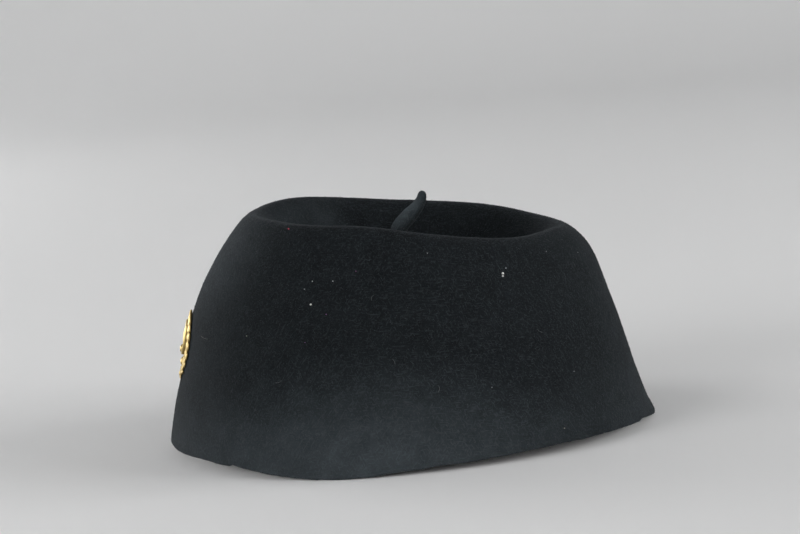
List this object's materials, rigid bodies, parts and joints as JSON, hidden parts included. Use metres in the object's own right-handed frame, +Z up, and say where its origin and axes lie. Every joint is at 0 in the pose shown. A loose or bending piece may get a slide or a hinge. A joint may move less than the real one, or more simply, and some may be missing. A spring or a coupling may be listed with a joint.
{
  "type": "fez",
  "caption": "Low black felt fez with a sunken oval crown, a bent felt stem in the crown and a gilt oval wreath badge on the front.",
  "frame": {"origin": "on the resting plane, under the middle of the rim", "axes": "-Y is the front with the badge, +X is the wearer's left, +Z is up"},
  "size_m": [0.1606, 0.205, 0.1001],
  "materials": {
    "black_felt": "dense brushed wool felt with a short nap and a soft sheen at the edges",
    "gilt_brass": "die-struck gilt brass, bright on the raised parts and darker in the recesses"
  },
  "bodies": {
    "root": {"felt_body": "black_felt", "crown_stem": "black_felt", "badge": "gilt_brass", "badge_nut": "gilt_brass"}
  },
  "joints": []
}
